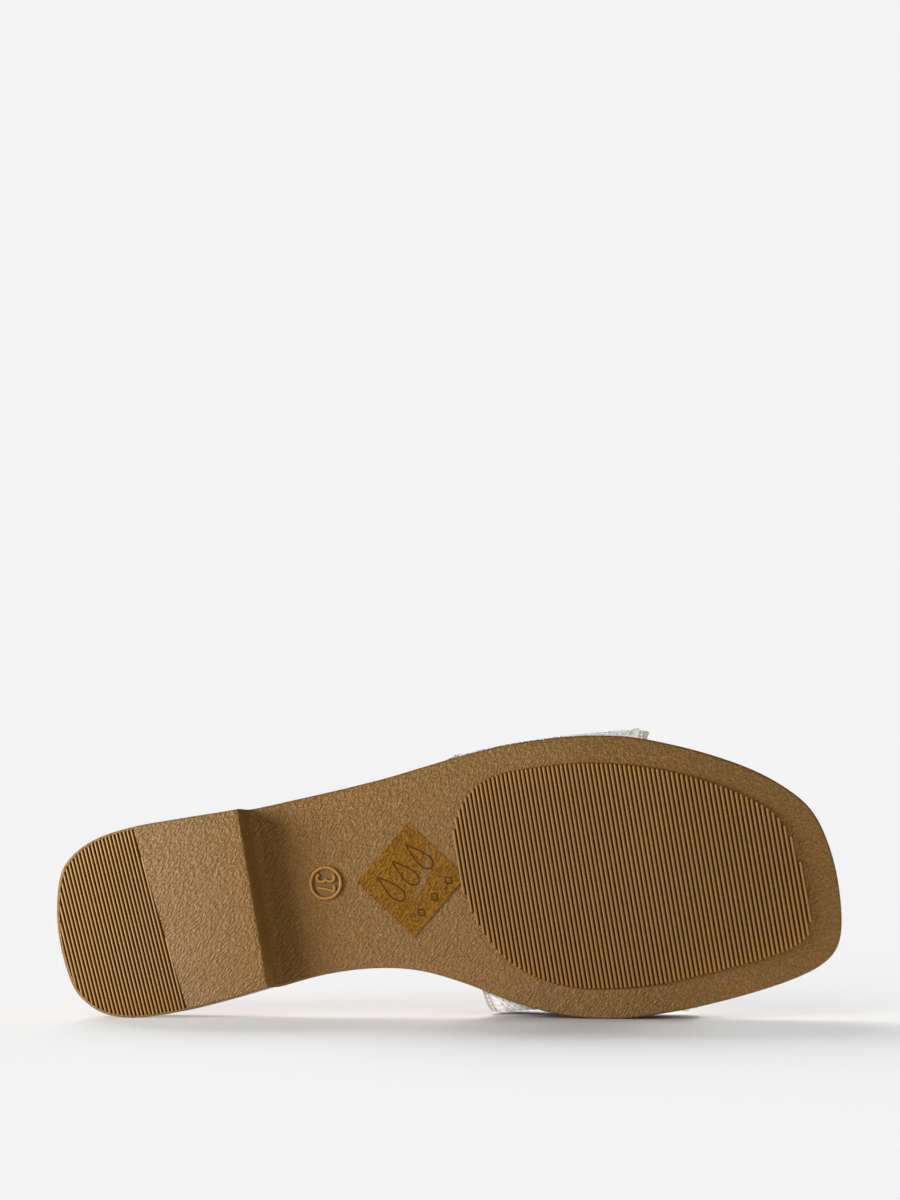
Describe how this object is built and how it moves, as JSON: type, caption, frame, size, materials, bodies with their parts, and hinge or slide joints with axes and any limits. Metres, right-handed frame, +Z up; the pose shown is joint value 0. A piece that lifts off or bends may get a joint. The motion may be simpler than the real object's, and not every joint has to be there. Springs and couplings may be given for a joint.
{
  "type": "slip-on sandal",
  "caption": "Slip-on sandal for the right foot, lying on its inner side: moulded tan sole with a ribbed tread and low heel, padded insole and a broad woven white strap.",
  "frame": {"origin": "on the floor, at the middle of the bottom of the lying shoe's box", "axes": "+X towards the toe, -Y the way the tread faces, +Z up, towards the outer side of the shoe as it lies"},
  "size_m": [0.2476, 0.072, 0.0888],
  "materials": {
    "outsole": "satin",
    "insole": "matte",
    "strap": "matte"
  },
  "bodies": {
    "root": {"outsole": "outsole", "insole": "insole", "strap": "strap"}
  },
  "joints": []
}
